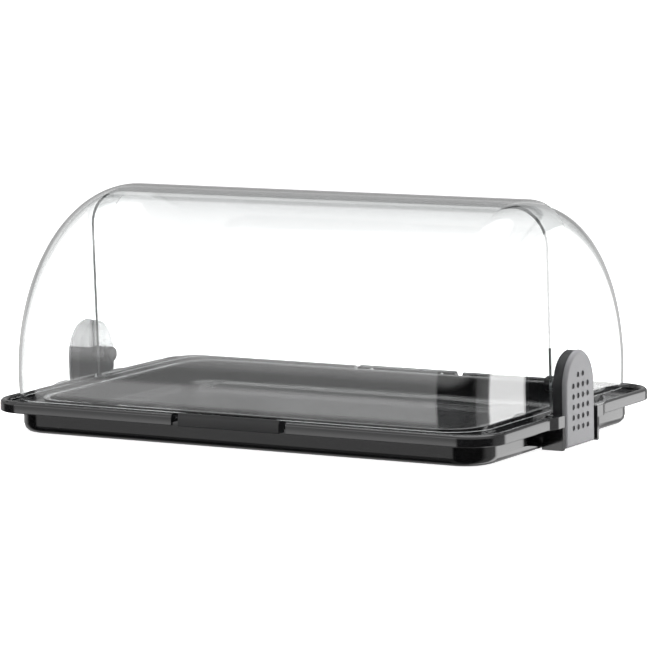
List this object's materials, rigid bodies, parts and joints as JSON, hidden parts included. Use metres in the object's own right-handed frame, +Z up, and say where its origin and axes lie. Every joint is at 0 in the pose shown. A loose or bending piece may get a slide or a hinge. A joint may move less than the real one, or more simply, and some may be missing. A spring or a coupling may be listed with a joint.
{
  "type": "roll-top bread display",
  "caption": "Counter bread display: black base with a lift-out serving tray under two clear nesting roll-top lids that turn on one axis between end brackets.",
  "frame": {"origin": "centre of the base on the counter it stands on", "axes": "+X to the right end along the length, +Y to the back, +Z up"},
  "size_m": [0.588, 0.366, 0.24],
  "materials": {
    "base_black": "glossy black moulded plastic",
    "tray_black": "black moulded plastic, softly glossy",
    "pad_rubber": "matt black rubber",
    "cover_grey": "fine matt grey moulded plastic",
    "bracket_dark": "dark satin moulded plastic",
    "handle_dark": "dark satin moulded plastic",
    "clear_shell": "clear polycarbonate, polished",
    "steel": "bright steel"
  },
  "bodies": {
    "base": {"base_tray": "base_black", "front_left_pad": "pad_rubber", "front_right_pad": "pad_rubber", "rear_left_pad": "pad_rubber", "rear_right_pad": "pad_rubber"},
    "tray": {"serving_tray": "tray_black"},
    "hood": {"left_bracket_cover": "cover_grey", "left_bracket_body": "bracket_dark", "left_cover_screw_low": "steel", "left_cover_screw_high": "steel", "left_pivot_pin": "steel", "left_pivot_spacer": "bracket_dark", "left_pivot_washer": "clear_shell", "right_bracket_cover": "cover_grey", "right_bracket_body": "bracket_dark", "right_cover_screw_low": "steel", "right_cover_screw_high": "steel", "right_pivot_pin": "steel", "right_pivot_spacer": "bracket_dark", "right_pivot_washer": "clear_shell"},
    "front_cover": {"front_lid": "clear_shell", "front_handle": "handle_dark", "front_handle_screw_left": "steel", "front_handle_screw_right": "steel"},
    "rear_cover": {"rear_lid": "clear_shell", "rear_handle": "handle_dark", "rear_handle_screw_left": "steel", "rear_handle_screw_right": "steel"},
    "left_turn_knob": {"left_knob": "bracket_dark"},
    "right_turn_knob": {"right_knob": "bracket_dark"}
  },
  "joints": [
    {"name": "hood_lift", "type": "slide", "parent": "base", "child": "hood", "axis": [0, 0, 1], "range_m": [0, 0.06]},
    {"name": "tray_lift", "type": "slide", "parent": "base", "child": "tray", "axis": [0, 0, 1], "range_m": [0, 0.04]},
    {"name": "front_lid_turn", "type": "hinge", "parent": "hood", "child": "front_cover", "pos_m": [0, 0, 0.06], "axis": [1, 0, 0], "range_deg": [-88, 0]},
    {"name": "rear_lid_turn", "type": "hinge", "parent": "hood", "child": "rear_cover", "pos_m": [0, 0, 0.06], "axis": [1, 0, 0], "range_deg": [0, 88]},
    {"name": "left_knob_turn", "type": "hinge", "parent": "hood", "child": "left_turn_knob", "pos_m": [-0.258, 0, 0.06], "axis": [1, 0, 0], "range_deg": [0, 90]},
    {"name": "right_knob_turn", "type": "hinge", "parent": "hood", "child": "right_turn_knob", "pos_m": [0.258, 0, 0.06], "axis": [1, 0, 0], "range_deg": [0, 90]}
  ]
}
